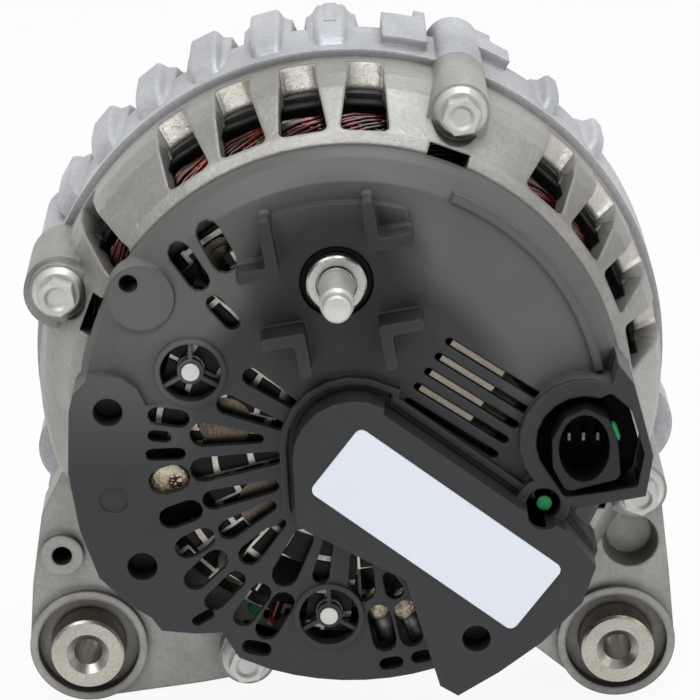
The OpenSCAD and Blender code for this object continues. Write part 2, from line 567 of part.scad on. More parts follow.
// Ventilation slots in the floor: outer end, inner end and the radius of each end
floor_slots = [
    [[-23.4, 11.7], [-13.6, 4.6], 2.3, 1.2], [[-29.4, 4.8], [-17, -0.6], 2.6, 1.2],
    [[-35.2, -2.7], [-22, -3.9], 3.2, 1.2], [[-35.3, -11.6], [-18.4, -8.8], 3.2, 1.8],
    [[-33.1, -19.3], [-19, -16], 2.6, 1.7], [[-29.5, -27], [-19.6, -21], 2.6, 1.6],
    [[-24.6, -33.5], [-17, -25.4], 2.8, 1.3], [[-16.3, -38.7], [-11.8, -29.4], 3.2, 2.6],
    [[-7.7, -39.1], [-5.6, -29.5], 2.1, 1.2], [[2.1, -42.8], [2, -34.2], 3.3, 2.6],
    [[10, -43], [8.6, -39.6], 2.3, 1.5],
    [[-45.9, 2.1], [-40.5, 1.3], 2.3, 2.3], [[-46.8, -2.9], [-44.1, -3.2], 1.5, 1.5],
    [[-47.3, -7.7], [-40.9, -7.5], 1.6, 1.6], [[-44.9, -14.6], [-41.8, -13.6], 3.5, 3.5],
    [[-43.2, -23.8], [-38.4, -22], 2.9, 2.9], [[-39.6, -31.5], [-35.5, -29.2], 2.9, 2.9],
    [[-37.8, -39.8], [-32.5, -34.7], 2.8, 2.8], [[-33.4, -45.6], [-28, -39.9], 2.4, 2.4],
    [[-26.3, -49.6], [-22.1, -43.4], 2.6, 2.6], [[-20.8, -52.8], [-16.8, -46], 2.9, 2.9],
    [[-37.5, -50.6], [-34.6, -48.8], 1.3, 1.3], [[-25, -57.4], [-21.6, -58.2], 1.9, 1.9],
    [[6.2, -49.6], [7.6, -56.2], 2.9, 2.9], [[12.7, -48.4], [14.1, -55], 2.9, 2.9],
    [[7.8, -62.3], [10.5, -61.8], 1.6, 1.6], [[15.5, -60.6], [17.7, -60.1], 1.6, 1.6]];
// Slots in the cone of the cover, above the plateau
cone_slots = [[[-33, 46.2], [-29.4, 39.9], 3, 3], [[-39.8, 41.1], [-35.5, 35.2], 2.9, 2.7],
    [[-31.9, 29.9], [-27.8, 25.3], 2, 2]];
snap_r = 7.2;
fin_rib_r = 59.5;

module guard_arms(c, dx, dy, len_x, len_y) translate([c[0], c[1], 0]) rotate([0, 0, guard_turn])
    prism(rounded([[0, 0], [dx*len_x, 0], [dx*len_x, dy*2.8], [dx*2.8, dy*2.8],
        [dx*2.8, dy*len_y], [0, dy*len_y]], 0.8, 2), cover_floor - 1, cover_floor + guard_rise);

module snap_ring() {
    tube(snap_r, snap_r + 1.3, cover_floor - 3, cover_floor + 0.9);
    for (k = [0:2]) rotate([0, 0, 90 + 120*k]) translate([2.6, -0.5, cover_floor - 1.6])
        cube([snap_r - 2.5, 1, 1.6]);
    tube(2.2, 3.1, cover_floor - 2, cover_floor);
}

module cover_body() difference() {
    union() {
        revolve(dome(0));
        prism(lower_plan, rear_depth, cover_floor);
        prism(block_plan, cover_floor - 1, block_top);
        intersection() {
            difference() {
                prism(inset(block_plan, -3.2), cover_floor - 1, cover_floor + 2.6);
                prism(inset(block_plan, -1.5), cover_floor + 0.8, cover_floor + 3);
            }
            prism(ledge_side, cover_floor - 2, cover_floor + 4);
        }
        prism(hood_plan, rear_depth, hood_top);
        translate(screw_at) rod(6.4, cover_floor - cover_wall, hood_top);
        translate([-49.2, 31, 0]) rod(8, cover_floor - 9, cover_floor - 0.8);
        prism([[-25, 30], [15, 30], [13.4, 51.6], for (p = arc([0, 0], 54.2, 76, 112, 6)) p],
            cover_floor - 6, cover_floor);
        difference() {
            tube(fin_rib_r - 1.2, fin_rib_r + 1, cover_floor - 8, cover_floor - 2);
            prism([[-70, -70], [70, -70], [70, 14], [0, 0], [30, 70], [-70, 70]],
                cover_floor - 10, cover_floor);
        }
    }
    revolve(dome(cover_wall));
    prism(inset(lower_plan, cover_wall), rear_depth - 1, cover_floor - cover_wall);
    prism(inset(block_plan, cover_wall), rear_depth - 1, block_top - cover_wall);
    prism(inset(hood_plan, cover_wall), rear_depth - 1, hood_top - cover_wall);
    prism(rounded(window_plan, 1.4, 3), rear_depth + 4, hood_top + 1);
    for (s = floor_slots) prism(slot(s[0], s[1], s[2], s[3]), cover_floor - 4, cover_floor + 1);
    for (s = cone_slots) prism(slot(s[0], s[1], s[2], s[3]), cover_floor - 9, cover_floor + 1);
    for (k = [0:slot_total - 1]) translate([slot_start[0], slot_start[1], 0])
        rotate([0, 0, sink_dir]) translate([0, -slot_pitch*k, 0])
            prism(slot([0, 0], [slot_len, 0], fin_slot_w/2, fin_slot_w/2), cover_floor - 4,
                cover_floor + 1);
    for (h = cover_holes) translate([h[0][0], h[0][1], 0]) rod(h[1], h[2] - 4, h[2] + 1);
    translate([-56.7, -19.1, 0]) rod(3.4, cover_floor - 0.6, cover_floor + 1);
    translate(screw_at) rod(4.1, rear_depth - 1, block_top + 1);
    translate([-51.9, 34.7, 0]) rod(2.2, cover_floor - 12, cover_floor);
    translate([stud_xy[0], stud_xy[1], 0]) rod(collar_r + 1.6, cover_floor - 4, cover_floor + 1);
    for (p = cover_studs_xy) translate([p[0], p[1], 0]) rod(snap_r, cover_floor - 5, cover_floor + 1);
}
module rear_cover() color("#34373b") bench() {
    cover_body();
    for (p = cover_studs_xy) translate([p[0], p[1], 0]) snap_ring();
    for (h = cover_holes) translate([h[0][0], h[0][1], 0]) difference() {
        rod(h[1] + 1.2, h[2] - 8.5, h[2] - 1);
        rod(h[1], h[2] - 7.5, h[2]);
    }
    guard_arms([-11, 25.5], -1, -1, 10.5, 11);
    guard_arms([6.2, 27], 1, -1, 10.5, 11);
    guard_arms([-16.4, 39], -1, 1, 10, 14);
    guard_arms([4.2, 45], 1, 1, 10.5, 12);
}

module label_plate() color("#e3e9f4") bench() translate([label_mid[0], label_mid[1], 0])
    rotate([0, 0, label_dir]) prism(rounded([[-label_len/2, -label_w/2], [label_len/2, -label_w/2],
        [label_len/2, label_w/2], [-label_len/2, label_w/2]], 1.8, 4), block_top, block_top + 0.4);

// Regulator with its connector, screws, pins and finned heat sink
reg_top = rear_depth + 6;
shroud_plan = rounded([[-4.4, -11], [8.4, -7.8], [7.6, 1], [5.4, 7], [0, 9.7], [-5, 7.4],
    [-7.9, 2], [-7.6, -5]], 2, 3);
socket_plan = [for (k = [0:23]) [-0.3 + 6*cos(15*k), -0.2 + 8.4*sin(15*k)]];
function along(u, v) = [u*cos(brush_dir) - v*sin(brush_dir), u*sin(brush_dir) + v*cos(brush_dir)];
reg_plan = [along(holder_end + 0.6, -11), along(54, -11), [44.5, -36.5], [51.5, -19.6],
    [66.9, -15.2], [68.2, -7.3], [64, 6.5], [59, 9], [47, 12], [43.5, 3.5], along(holder_end + 0.6, 7.5)];
module regulator_body() color("#26282b") bench() difference() {
    union() {
        prism(rounded(reg_plan, 3), rear_depth + 0.4, reg_top);
        translate([connector_xy[0], connector_xy[1], 0]) prism(shroud_plan, reg_top - 1, block_top - 2);
    }
    translate([connector_xy[0], connector_xy[1], 0]) prism(socket_plan, reg_top + 2, block_top);
    translate(screw_at) rod(reg_screw_r, rear_depth, reg_top + 1);
}
module connector_pins() color("gold") bench()
    for (k = [0:2]) translate([connector_xy[0] - 3.4 + 3.4*k, connector_xy[1], 0])
        prism([[-0.4, -1], [0.4, -1], [0.4, 1], [-0.4, 1]], reg_top + 2, reg_top + 7);
module regulator_heat_sink() color("#a59a8a") bench() {
    prism(rounded([[14, 2], [31, -11], [41, 5], [26, 24]], 2), reg_top - 2, reg_top);
    for (p = [[25, 17, 0], [30, -5, 0]]) translate(p) rod(3.2, rear_depth, reg_top - 2 + eps);
    for (k = [0:slot_total - 2]) translate([slot_start[0], slot_start[1], 0])
        rotate([0, 0, sink_dir]) translate([0.6, -slot_pitch*k - 0.75, reg_top - eps])
            cube([slot_len*0.6, 1.5, cover_floor - 0.6 - reg_top]);
}
module regulator_screws() color("silver") bench() {
    translate(screw_at) rod(reg_screw_r, rear_depth - 3, reg_top);
    translate(screw_at + [0, 0, reg_top]) cylinder(r1 = 3.6, r2 = 2.4, h = 2.6, $fn = 32);
}

// Brush holder, carrying two brushes on springs
module along_brush(z) rotate([0, 0, brush_dir]) translate([0, 0, z + ring_width/2]) children();
module brush_holder() color("#2b2d31") bench() difference() {
    rotate([0, 0, brush_dir]) translate([ring_r + 1.6, holder_low, rear_depth + 0.4])
        cube([holder_end - ring_r - 1.6, holder_w, shaft_rear - rear_depth - 0.4]);
    for (z = [ring_1_z, ring_2_z]) along_brush(z)
        translate([ring_r, -brush_w/2 - 0.1, -brush_t/2 - 0.1])
            cube([holder_end - ring_r - 2, brush_w + 0.2, brush_t + 0.2]);
    rod(ring_r + 1.8, rear_depth, shaft_rear + 1);
}
module brush(z) intersection() {
    along_brush(z) translate([0, -brush_w/2, -brush_t/2]) cube([ring_r + brush_len, brush_w, brush_t]);
    tube(ring_r + 0.06, ring_r + brush_len + 20, z, z + ring_width);
}
module brush_1() color("#3c3c3e") bench() brush(ring_1_z);
module brush_2() color("#3c3c3e") bench() brush(ring_2_z);
// A helical spring behind each brush
module spring(z) {
    n = 60;
    m = 6;
    x0 = ring_r + brush_len;
    x1 = holder_end - 2.2;
    points = [for (i = [0:n]) for (j = [0:m - 1]) let (a = 360*5*i/n, b = 360*j/m)
        [x0 + 0.3 + (x1 - x0 - 0.6)*i/n + 0.3*sin(b), (1.4 + 0.3*cos(b))*cos(a),
            (1.4 + 0.3*cos(b))*sin(a)]];
    sides = [for (i = [0:n - 1]) for (j = [0:m - 1])
        [i*m + j, i*m + (j + 1)%m, (i + 1)*m + (j + 1)%m, (i + 1)*m + j]];
    along_brush(z) polyhedron(points, concat(sides, [[for (j = [m - 1:-1:0]) j]],
        [[for (j = [0:m - 1]) n*m + j]]));
}
module brush_spring_1() color("gold") bench() spring(ring_1_z);
module brush_spring_2() color("gold") bench() spring(ring_2_z);

// Rotor
module rotor_shaft() color("lightsteelblue") bench() revolve([[0, shaft_front],
    [thread_r - 1, shaft_front], [thread_r, shaft_front + 1], [thread_r, pulley_z + 4],
    [shaft_r, pulley_z + 4], [shaft_r, rear_bearing_z], [rear_shaft_r, rear_bearing_z],
    [rear_shaft_r, rear_depth + 0.5], [4, rear_depth + 0.5], [4, shaft_rear - 1],
    [0, shaft_rear - 1]]);

// One pole piece drawn with its disc at the bottom and its claws pointing up
module pole_piece() difference() {
    union() {
        rod(bobbin_r - 3, 0, pole_disc - 0.5);
        rod(core_post_r, 0, pole_len/2);
        intersection() {
            revolve([[bobbin_r - 6, 0], [pole_r - 3, 0], [pole_r, 2.4], [pole_r, pole_len - 2],
                [pole_r - 3.4, pole_len - 2], [bobbin_r + 1, pole_disc], [bobbin_r - 6, pole_disc]]);
            for (k = [0:claw_count - 1]) rotate([0, 0, 360/claw_count*k])
                rotate([90, 0, 90]) linear_extrude(height = pole_r + 2)
                    polygon([[-12.6, -1], [12.6, -1], [12.2, 8], [3.9, pole_len - 1],
                        [-3.9, pole_len - 1], [-12.2, 8]]);
        }
    }
    rod(shaft_r, -1, pole_len);
}
module front_pole() color("gray") bench() translate([0, 0, pole_front]) pole_piece();
module rear_pole() color("gray") bench() translate([0, 0, pole_rear]) mirror([0, 0, 1])
    rotate([0, 0, 180/claw_count]) pole_piece();

bobbin_front = pole_front + pole_disc + 0.1;
bobbin_rear = pole_rear - pole_disc - 0.1;
module field_bobbin() color("#d8d2c0") bench() revolve([[core_post_r + 0.1, bobbin_front],
    [bobbin_r - 3.2, bobbin_front], [bobbin_r - 3.2, bobbin_front + 1],
    [core_post_r + 1, bobbin_front + 1], [core_post_r + 1, bobbin_rear - 1],
    [bobbin_r - 3.2, bobbin_rear - 1], [bobbin_r - 3.2, bobbin_rear],
    [core_post_r + 0.1, bobbin_rear]]);
module field_winding() color("chocolate") bench() revolve([[core_post_r + 1, bobbin_front + 1],
    [bobbin_r - 4, bobbin_front + 1], for (k = [0:5]) for (q = [0, 1])
        [bobbin_r - 4.1 + 0.6*q, bobbin_front + 1.6 + (bobbin_rear - bobbin_front - 3.2)*(k + q*0.5)/6],
    [bobbin_r - 4, bobbin_rear - 1], [core_post_r + 1, bobbin_rear - 1]]);

// Sheet fan with curved blades, drawn with its plate at the bottom
blade_h = 6.5;
module fan(bore_r) {
    tube(bore_r, fan_r - 8, 0, fan_plate);
    for (k = [0:blade_count - 1]) rotate([0, 0, 360/blade_count*k + 7*sin(115*k)])
        prism(concat(arc([34, 17], 17, -98, -45, 5), arc([34, 17], 18.4, -45, -98, 5)), 0,
            fan_plate + blade_h);
}
module rear_fan() color("gainsboro") bench() translate([0, 0, pole_rear]) fan(shaft_r);
module front_fan() color("gainsboro") bench() translate([0, 0, pole_front]) mirror([0, 0, 1])
    fan(shaft_r);

module slip_ring_hub() color("black") bench() difference() {
    rod(ring_r - 1, rear_depth + 0.6, shaft_rear);
    rod(4, rear_depth, shaft_rear - 1);
}
module slip_rings() color("#b87333") bench() for (z = [ring_1_z, ring_2_z])
    tube(ring_r - 1, ring_r, z, z + ring_width);

// Drive end
pulley_w = rib_count*rib_pitch + 5;
pulley_z = -belt_reach - pulley_w/2;
shaft_front = pulley_z - 10.8;
thread_r = 7.5;
module front_spacer() color("silver") bench()
    tube(shaft_r, 12, pulley_z + pulley_w + 1, front_bearing_z);
module pulley() color("#55585c") bench() difference() {
    revolve([[shaft_r, pulley_z + 4], [pulley_r - 8, pulley_z + 4], [pulley_r - 5, pulley_z],
        [pulley_r + 1.5, pulley_z], [pulley_r + 1.5, pulley_z + 1.6],
        for (k = [0:rib_count - 1]) for (q = [0, 1, 2]) [pulley_r - (q == 0 ? 2.6 : 0),
            -belt_reach + (k - rib_count/2 + [0, 0.4, 0.6][q])*rib_pitch],
        [pulley_r - 2.6, -belt_reach + rib_count/2*rib_pitch],
        [pulley_r + 1.5, pulley_z + pulley_w - 1.6], [pulley_r + 1.5, pulley_z + pulley_w],
        [pulley_r - 5, pulley_z + pulley_w], [pulley_r - 8, pulley_z + pulley_w - 6],
        [14, pulley_z + pulley_w - 6], [14, pulley_z + pulley_w + 1],
        [shaft_r, pulley_z + pulley_w + 1]]);
}
module pulley_nut() color("silver") bench() difference() {
    union() {
        translate([0, 0, pulley_z - 5]) cylinder(r = 12.7, h = 9, $fn = 6);
        rod(12.6, pulley_z + 3, pulley_z + 4);
    }
    rod(thread_r, pulley_z - 6, pulley_z + 5);
}

// Tapped bushes that clamp the engine bracket
module bush() translate([0, -ear_drop, 0]) difference() {
    revolve([[0, rear_ear_face - rear_ear_len], [bush_r, rear_ear_face - rear_ear_len],
        [bush_r, rear_ear_face + bush_stand - 0.6], [bush_r - 0.6, rear_ear_face + bush_stand],
        [0, rear_ear_face + bush_stand]]);
    rod(bush_bore_r, rear_ear_face - rear_ear_len - 1, rear_ear_face + bush_stand + 1);
    translate([0, 0, rear_ear_face + bush_stand - 1.8])
        cylinder(r1 = bush_bore_r, r2 = bush_bore_r + 1.9, h = 1.81, $fn = 48);
}
module bush_left() color("#b9b2a8") bench() translate([-ear_x, 0, 0]) bush();
module bush_right() color("#b9b2a8") bench() translate([ear_x, 0, 0]) bush();

front_housing();
rear_housing();
stator_core();
stator_winding();
phase_leads();
through_bolts();
front_bearing_outer_ring();
bearing_retainer();
retainer_screws();
rear_bearing_outer_ring();
rear_bearing_sleeve();
negative_plate();
positive_plate();
negative_diodes();
positive_diodes();
lead_frame();
rectifier_studs();
output_stud();
output_collar();
output_insulator();
regulator_body();
regulator_heat_sink();
regulator_screws();
connector_pins();
brush_holder();
brush_spring_1();
brush_spring_2();
brush_1();
brush_2();
rear_cover();
label_plate();
rotor_shaft();
front_pole();
rear_pole();
field_bobbin();
field_winding();
front_fan();
rear_fan();
slip_ring_hub();
slip_rings();
front_bearing_inner_ring();
rear_bearing_inner_ring();
front_bearing_balls();
rear_bearing_balls();
front_spacer();
pulley();
pulley_nut();
bush_left();
bush_right();
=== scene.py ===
import json
import math

import bmesh
import bpy
from mathutils import Matrix, Vector


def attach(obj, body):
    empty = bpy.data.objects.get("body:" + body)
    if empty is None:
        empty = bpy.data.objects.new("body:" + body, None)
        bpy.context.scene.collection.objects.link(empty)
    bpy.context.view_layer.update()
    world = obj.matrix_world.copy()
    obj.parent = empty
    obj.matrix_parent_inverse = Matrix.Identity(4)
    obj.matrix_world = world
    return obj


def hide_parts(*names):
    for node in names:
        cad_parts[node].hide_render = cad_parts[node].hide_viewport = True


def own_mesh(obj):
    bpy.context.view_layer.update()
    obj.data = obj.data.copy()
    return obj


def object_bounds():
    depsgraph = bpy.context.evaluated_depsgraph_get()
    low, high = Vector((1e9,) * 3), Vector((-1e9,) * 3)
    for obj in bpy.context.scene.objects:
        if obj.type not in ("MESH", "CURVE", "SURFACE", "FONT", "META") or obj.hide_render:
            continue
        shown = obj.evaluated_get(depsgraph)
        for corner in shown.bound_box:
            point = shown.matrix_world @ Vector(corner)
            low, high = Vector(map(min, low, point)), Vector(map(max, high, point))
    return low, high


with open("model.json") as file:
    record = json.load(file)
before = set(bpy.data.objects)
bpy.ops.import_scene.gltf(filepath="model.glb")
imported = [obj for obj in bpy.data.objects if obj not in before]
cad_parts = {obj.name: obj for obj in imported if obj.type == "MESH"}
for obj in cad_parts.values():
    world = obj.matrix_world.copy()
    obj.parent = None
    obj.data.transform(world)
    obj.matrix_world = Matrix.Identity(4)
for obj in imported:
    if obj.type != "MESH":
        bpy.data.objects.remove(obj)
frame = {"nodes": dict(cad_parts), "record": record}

cad_lo, cad_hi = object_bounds()

# Sizes of the part that the pieces follow. They are in mm on the part's bench: x to the right and
# y up as seen from the rear, and t rearwards from the joint of the brackets. Angles are in degrees.
MM = 0.001
BELT_REACH = 66.0
BRACKET_R = 76.0
BARREL_STEP = 1.7
FIN_HEIGHT = 4.5
REAR_DEPTH = 37.5
CORE_R = 70.0
CORE_REAR = 12.0
CORE_FRONT = -22.0
SLOTS = 36
OVERHANG = 15.0
POLE_R = 48.0
AIR_GAP = 0.6

# The eight upper windows of the rear bracket, by their clock angles
WINDOW_W = 8.8
WINDOW_FROM = 5.0
WINDOW_PITCH = 12.3
WINDOWS = [3 - k*WINDOW_PITCH for k in range(4)] + [42.4 + k*WINDOW_PITCH for k in range(4)]

# Fins of the front bracket: clock angle, half width, and where they start and end along the barrel
UPPER_FINS = [(-61.6 + 11.7*k, 3.1, 20, 35) for k in range(6)]
LOWER_FINS = [(150 + 20*k, 3.1, 20, 35) for k in range(4)]
SMALL_FINS = [(39, 1.2, 15, 27), (50.5, 1.2, 15, 27)]
FIN_FOOT_T = 3
# Fins this near the top keep to the part's height, and the others stand a little prouder
TOP_CLOCK = 12

# Strands of the winding's end turns
COIL_IN = POLE_R + AIR_GAP + 1.2
COIL_OUT = CORE_R - 4.4
STRANDS = 9
STRAND_R = 0.52
STRAND_PITCH = 9.5
STRAND_STEPS = 18
STRAND_WRAP = 300
STRAND_SPAN = 105

# Brush springs: their line from the shaft, their ends along it, and their heights t
BRUSH_DIR = math.radians(-37)
COIL_FROM = 22.5
COIL_TO = 30.3
COIL_R = 1.4
WIRE_R = 0.3
COIL_TURNS = 5
COIL_STEPS = 24
BRUSH_1_T = 43.5
BRUSH_2_T = 51.0

# Places on the bench (x, y) and heights t of what is seen on and through the cover
STUD_AT = (-3.4, 38)
HOOD_AT = (57.3, -4.2)
HOOD_RIM_T = 57.8
SCREW_AT = (45.4, -19.7)
SCREW_TOP_T = 46.1
SCREW_CAP_T = 52.7
DIODE_AT = (-43.4, -15.3)
PLATE_TOP_T = 46.4
BRACKET_MARK_AT = (-23.6, -52.6)
SHROUD_MARK_AT = (61.5, -0.9)
SHROUD_MARK_T = 54
# Gilt ends of two leads, each with the slope of its tail
LEAD_ENDS = (((6.1, -48.5), 0.21), ((12.4, -48.5), 0.35))
LEAD_END_T = 45.2

# Spans over which painted shade and a painted sheen fade: distances from the axis or a point, heights
# y and heights t
SEAT_R = (CORE_R - 0.4, CORE_R - 0.1)
SEAT_T = (24, 25)
DOME_R = (35, 42)
DOME_Y = (-12, 22)
DOME_T = (52, 53)
STUD_SHADE_SPAN = (12, 24)
IN_HOOD = (12.6, 13.1)
IN_HOOD_T = (53.2, 53.8)

# Cooling ribs of the rectifier's plates: a polar grid of ribs about a point
RIB_CENTRE = (0.4, -5.4)
RIB_PITCH = 11.0
RIB_SPACING = 8.5

# Colours that the finishes mix in
BLACK = (0, 0, 0)
WHITE = (1, 1, 1)
# Soot and painted shade in the hollows of the casting
SOOT_AND_SHADE = (0.13, 0.115, 0.10)
# Grime and painted shade in the corners of machined metal
GRIME_AND_SHADE = (0.09, 0.08, 0.07)
# Painted shade, black on the inner wall round the stator core
SEAT_PAINTED_SHADE = (0.012, 0.012, 0.011)
# Painted shade, black inside the hood
HOOD_PAINTED_SHADE = (0.003, 0.003, 0.003)
RIM_GREY = (0.032, 0.033, 0.036)
CRACK = (0.03, 0.02, 0.015)
# Painted shade: near black for nylon parts that lie deep in shade
PAINTED_SHADE_NYLON = (0.004, 0.004, 0.0043)
PAINT_GREEN = (0.012, 0.28, 0.085)
# Painted sheen on the upper cone of the cover's dome
DOME_SHEEN_DARK = (0.086, 0.087, 0.085)
DOME_SHEEN_LIGHT = (0.120, 0.121, 0.116)


def bench(x, y, t):
    """The point in the frame, in metres, of a point on the bench."""
    return Vector((x, -BELT_REACH - t, y))*MM


def at_clock(clock, across, r, t):
    """A point at a clock angle from the top, shifted across it by some mm."""
    a = math.radians(clock)
    return bench(r*math.sin(a) + across*math.cos(a), r*math.cos(a) - across*math.sin(a), t)


def times(colour, factor, most=math.inf):
    """A colour made darker or lighter."""
    return tuple(min(most, factor*c) for c in colour)


class Nodes:
    """Short calls that add shader nodes and link them."""

    def __init__(self, name):
        self.mat = bpy.data.materials.new(name)
        self.mat.use_nodes = True
        self.tree = self.mat.node_tree
        self.bsdf = self.tree.nodes["Principled BSDF"]
        self.out = self.tree.nodes["Material Output"]
        self.coord = self.add("ShaderNodeTexCoord").outputs["Object"]

    def add(self, kind, **values):
        """A node; a value with a leading underscore is a setting and any other an input."""
        node = self.tree.nodes.new(kind)
        for key, value in values.items():
            if key.startswith("_"):
                setattr(node, key[1:], value)
            else:
                self.put(node, key.replace("_", " "), value)
        return node

    def put(self, node, key, value):
        """Links or sets an input, given by its name or its number."""
        socket = node.inputs[int(key)] if key.isdigit() else node.inputs[key]
        if isinstance(value, bpy.types.NodeSocket):
            self.tree.links.new(value, socket)
        else:
            socket.default_value = value

    def place(self):
        """The bench x, y, t and the distance from the axis, in mm."""
        split = self.add("ShaderNodeSeparateXYZ", Vector=self.coord)
        x = self.math("MULTIPLY", split.outputs[0], 1/MM)
        y = self.math("MULTIPLY", split.outputs[2], 1/MM)
        t = self.math("MULTIPLY_ADD", split.outputs[1], -1/MM, -BELT_REACH)
        return x, y, t, self.distance(x, y)

    def distance(self, x, y):
        """How far a point lies from the origin."""
        square = self.math("MULTIPLY_ADD", y, y, self.math("MULTIPLY", x, x))
        return self.math("SQRT", square)

    def near(self, x, y, centre, full, none):
        """1 within full mm of a point and 0 beyond none mm."""
        dx = self.math("SUBTRACT", x, centre[0])
        dy = self.math("SUBTRACT", y, centre[1])
        return self.grey(self.distance(dx, dy), 1.0, 0.0, full, none)

    def scaled(self, sx, sy, sz):
        """Object coordinates stretched along the axes, for streaks."""
        node = self.add("ShaderNodeMapping", Vector=self.coord)
        node.inputs["Scale"].default_value = (sx, sy, sz)
        return node.outputs[0]

    def noise(self, scale, detail=4.0, rough=0.55, vector=None, distortion=0.0):
        node = self.add("ShaderNodeTexNoise", Vector=vector or self.coord, Scale=scale,
                        Detail=detail, Roughness=rough, Distortion=distortion)
        return node.outputs["Fac"]

    def ramp(self, fac, *stops):
        """Fades through (place, colour) stops."""
        node = self.add("ShaderNodeValToRGB", Fac=fac)
        elements = node.color_ramp.elements
        while len(elements) < len(stops):
            elements.new(0.5)
        for element, (place, colour) in zip(elements, stops):
            element.position = place
            element.color = (*colour, 1)
        return node.outputs["Color"]

    def grey(self, fac, low, high, a=0.0, b=1.0):
        """Goes from low to high while fac goes from a to b."""
        node = self.add("ShaderNodeMapRange", Value=fac)
        node.inputs["From Min"].default_value = a
        node.inputs["From Max"].default_value = b
        node.inputs["To Min"].default_value = low
        node.inputs["To Max"].default_value = high
        return node.outputs[0]

    def math(self, op, a, b=0.0, c=0.0):
        node = self.add("ShaderNodeMath", _operation=op)
        for key, value in (("0", a), ("1", b), ("2", c)):
            self.put(node, key, value)
        return node.outputs[0]

    def mix(self, fac, a, b):
        node = self.add("ShaderNodeMix", _data_type="RGBA")
        self.put(node, "0", fac)
        for key, value in (("6", a), ("7", b)):
            self.put(node, key, (*value, 1) if isinstance(value, tuple) else value)
        return node.outputs[2]

    def hollow(self, distance, low=0.0, high=1.0):
        """1 in the open and falling to 0 in corners and recesses."""
        node = self.add("ShaderNodeAmbientOcclusion", _samples=4, Distance=distance)
        return self.grey(node.outputs["AO"], 0.0, 1.0, low, high)

    def edge(self, radius):
        """The normal with its edges rounded, by a radius in metres."""
        return self.add("ShaderNodeBevel", _samples=4, Radius=radius).outputs[0]

    def edge_wear_and_highlight(self, radius):
        """1 along the edges, where a rounded normal leaves the flat one."""
        flat = self.add("ShaderNodeNewGeometry").outputs["Normal"]
        node = self.add("ShaderNodeVectorMath", _operation="DOT_PRODUCT")
        self.put(node, "0", self.edge(radius))
        self.put(node, "1", flat)
        return self.grey(node.outputs["Value"], 1.0, 0.0, 0.80, 0.985)

    def bump(self, *layers, radius=0.0):
        """Layers are (height, strength, distance); the first sits on the rounded edges."""
        normal = self.edge(radius) if radius else None
        for height, strength, distance in layers:
            node = self.add("ShaderNodeBump", Height=height, Strength=strength, Distance=distance)
            if normal is not None:
                self.put(node, "Normal", normal)
            normal = node.outputs[0]
        return normal

    def set(self, **values):
        """Sets the surface's inputs and gives back the material."""
        for key, value in values.items():
            self.put(self.bsdf, key.replace("_", " "), value)
        return self.mat


# Materials
def cast_aluminium(name, light, dark, grain=1.0, rough=0.40, soot_and_shade=1.0):
    """A rough casting with pits and stains, soot and painted shade in its hollows, and painted shade
    in black where it lies round the core.
    """
    n = Nodes(name)
    broad = n.noise(28, 3)
    fine = n.noise(760, 4, 0.75)
    pits = n.ramp(n.noise(420, 2, 0.5), (0.30, BLACK), (0.40, WHITE))
    body = n.ramp(broad, (0.35, dark), (0.62, light))
    mottled = n.mix(n.grey(fine, 0.0, 0.42, 0.25, 0.75), body, times(dark, 0.5))
    open_air = n.hollow(0.007, 0.25, 0.95)
    # Soot and painted shade darken the hollows
    colour = n.mix(open_air, n.mix(0.6*soot_and_shade, mottled, SOOT_AND_SHADE), mottled)
    # Painted shade, darker where the casting lies deep inside
    if soot_and_shade == 1:
        colour = n.mix(n.hollow(0.035, 0.0, 0.3), times(dark, 0.12), colour)
    _, _, t, r = n.place()
    # Painted shade: black on the inner wall round the stator core
    seat_shade = n.math("MULTIPLY", n.grey(r, 1, 0, *SEAT_R), n.grey(n.math("ABSOLUTE", t), 1, 0, *SEAT_T))
    colour = n.mix(seat_shade, colour, SEAT_PAINTED_SHADE)
    normal = n.bump((fine, 0.45*grain, 0.0004), (pits, 0.20*grain, 0.0003), (broad, 0.15, 0.002),
                    radius=0.0012)
    roughness = n.grey(n.noise(160, 4), rough - 0.08, rough + 0.14)
    return n.set(Base_Color=colour, Metallic=0.85, Roughness=roughness, Normal=normal)


def machined(name, light, dark, rough=0.24, turned=True, metallic=1.0, edge=0.0003, shade_depth=0.0):
    """Metal with fine streaks, and grime and painted shade in its corners; with a shade_depth it
    paints shade where the part lies that far inside.
    """
    n = Nodes(name)
    streaks = n.noise(240, 3, 0.6, n.scaled(6, 0.4, 6) if turned else None)
    spots = n.noise(70, 4)
    colour = n.ramp(n.mix(0.5, streaks, spots), (0.36, dark), (0.62, light))
    # Grime and painted shade darken the corners
    open_air = n.hollow(0.003, 0.2, 0.9)
    colour = n.mix(open_air, n.mix(0.5, colour, GRIME_AND_SHADE), colour)
    # Painted shade where the part lies deep inside
    if shade_depth:
        colour = n.mix(n.hollow(shade_depth, 0.12, 0.7), times(dark, 0.03), colour)
    normal = n.bump((streaks, 0.10, 0.0002), (spots, 0.06, 0.0006), radius=edge)
    roughness = n.grey(spots, rough - 0.06, rough + 0.12)
    return n.set(Base_Color=colour, Metallic=metallic, Roughness=roughness, Normal=normal)


def paint_dome_sheen(n, colour, base, flow):
    """A painted sheen on the upper cone of the cover's dome, and painted shade round the output stud.
    """
    x, y, t, r = n.place()
    # Painted sheen: lighter grey on the upper cone of the dome
    dome = n.math("MULTIPLY", n.grey(r, 0, 1, *DOME_R), n.grey(y, 0, 1, *DOME_Y))
    dome = n.math("MULTIPLY", dome, n.grey(t, 1, 0, *DOME_T))
    colour = n.mix(dome, colour, n.mix(flow, DOME_SHEEN_DARK, DOME_SHEEN_LIGHT))
    # Painted shade round the output stud
    shade = n.math("MULTIPLY", n.near(x, y, STUD_AT, *STUD_SHADE_SPAN), 0.95)
    return n.mix(shade, colour, times(base, 0.5))


